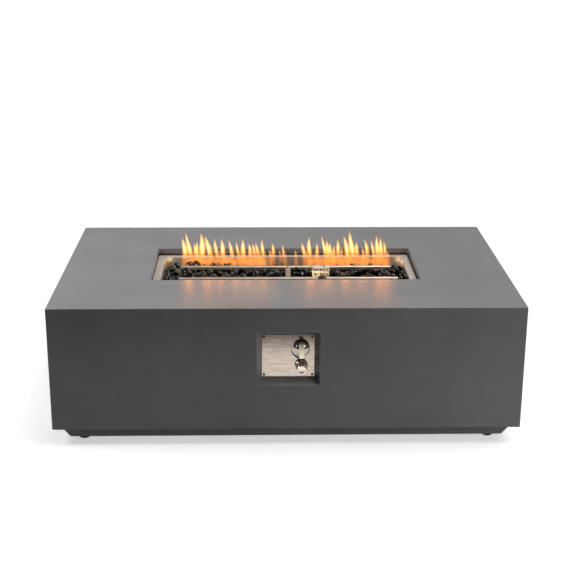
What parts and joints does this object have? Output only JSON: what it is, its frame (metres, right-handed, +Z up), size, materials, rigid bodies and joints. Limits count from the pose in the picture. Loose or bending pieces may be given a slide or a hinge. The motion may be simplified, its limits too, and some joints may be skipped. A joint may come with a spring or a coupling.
{
  "type": "concrete fire pit table",
  "caption": "Low rectangular cast-concrete gas fire table with a drop-in burner pan, stone bed, and a recessed control panel with turning knob and push-button igniter.",
  "frame": {"origin": "on the floor under the middle of the table", "axes": "+X to the right along the long side, +Y from the control panel's side to the back, +Z up"},
  "size_m": [1.27, 0.787, 0.394],
  "materials": {
    "concrete": "smooth cast, semi-matt sealed",
    "black_rubber": "matt",
    "zinc_steel": "zinc plated",
    "brass": "satin machined",
    "gasket_fibre": "woven glass fibre",
    "pan_steel": "satin stainless sheet",
    "burner_steel": "heat-tinted stainless tube",
    "fire_stone": "polished black",
    "guard_steel": "stainless sheet",
    "ceramic_white": "fired, unglazed",
    "panel_steel": "horizontally brushed stainless",
    "knob_chrome": "chrome skirt with satin grip",
    "igniter_chrome": "polished chrome",
    "igniter_plastic": "black moulded",
    "spring_steel": "drawn wire",
    "battery_case": "plain printed can",
    "hose_braid": "stainless braid",
    "wire_silicone": "red silicone",
    "copper": "drawn copper"
  },
  "bodies": {
    "table": {"table_shell": "concrete", "feet": "black_rubber", "foot_screws": "zinc_steel", "foot_anchors": "brass", "pan_gasket": "gasket_fibre", "burner_pan": "pan_steel", "burner_tube_rear": "burner_steel", "burner_tube_front": "burner_steel", "burner_cross_tube": "burner_steel", "burner_end_caps": "burner_steel", "burner_inlet_nipple": "zinc_steel", "burner_lock_nuts": "zinc_steel", "burner_supports": "pan_steel", "burner_support_screws": "zinc_steel", "air_mixer": "brass", "orifice_fitting": "brass", "burner_hose": "hose_braid", "burner_hose_nuts": "brass", "inlet_hose": "hose_braid", "inlet_hose_nuts": "brass", "igniter_guard": "guard_steel", "igniter_guard_screws": "zinc_steel", "igniter_bracket": "guard_steel", "electrode_ceramic": "ceramic_white", "spark_electrode": "spring_steel", "thermocouple_tip": "copper", "fire_stones": "fire_stone", "control_panel": "panel_steel", "panel_screws": "zinc_steel", "panel_anchors": "brass", "gas_valve_body": "brass", "valve_lock_nut": "zinc_steel", "valve_return_spring": "spring_steel", "igniter_housing": "igniter_plastic", "igniter_lock_nut": "igniter_plastic", "igniter_bezel": "igniter_chrome", "igniter_spring": "spring_steel", "igniter_battery": "battery_case", "ignition_wire": "wire_silicone", "thermocouple_lead": "copper", "gas_inlet_plate": "pan_steel", "gas_inlet_screws": "zinc_steel", "gas_inlet_anchors": "brass", "gas_inlet_fitting": "brass", "gas_inlet_nut": "brass"},
    "valve_plunger": {"valve_spring_seat": "brass"},
    "knob": {"control_knob": "knob_chrome", "valve_stem": "brass"},
    "push_button": {"igniter_button": "igniter_chrome"}
  },
  "joints": [
    {"name": "knob_push", "type": "slide", "parent": "table", "child": "valve_plunger", "axis": [0, 1, 0], "range_m": [0, 0.004], "stiffness_N_per_m": 1200, "springref_m": -0.004, "deforming": ["valve_return_spring"]},
    {"name": "knob_turn", "type": "hinge", "parent": "valve_plunger", "child": "knob", "pos_m": [0.038, -0.37, 0.2705], "axis": [0, -1, 0], "range_deg": [0, 180]},
    {"name": "igniter_press", "type": "slide", "parent": "table", "child": "push_button", "axis": [0, 1, 0], "range_m": [0, 0.005], "stiffness_N_per_m": 900, "springref_m": -0.004, "deforming": ["igniter_spring"]}
  ]
}
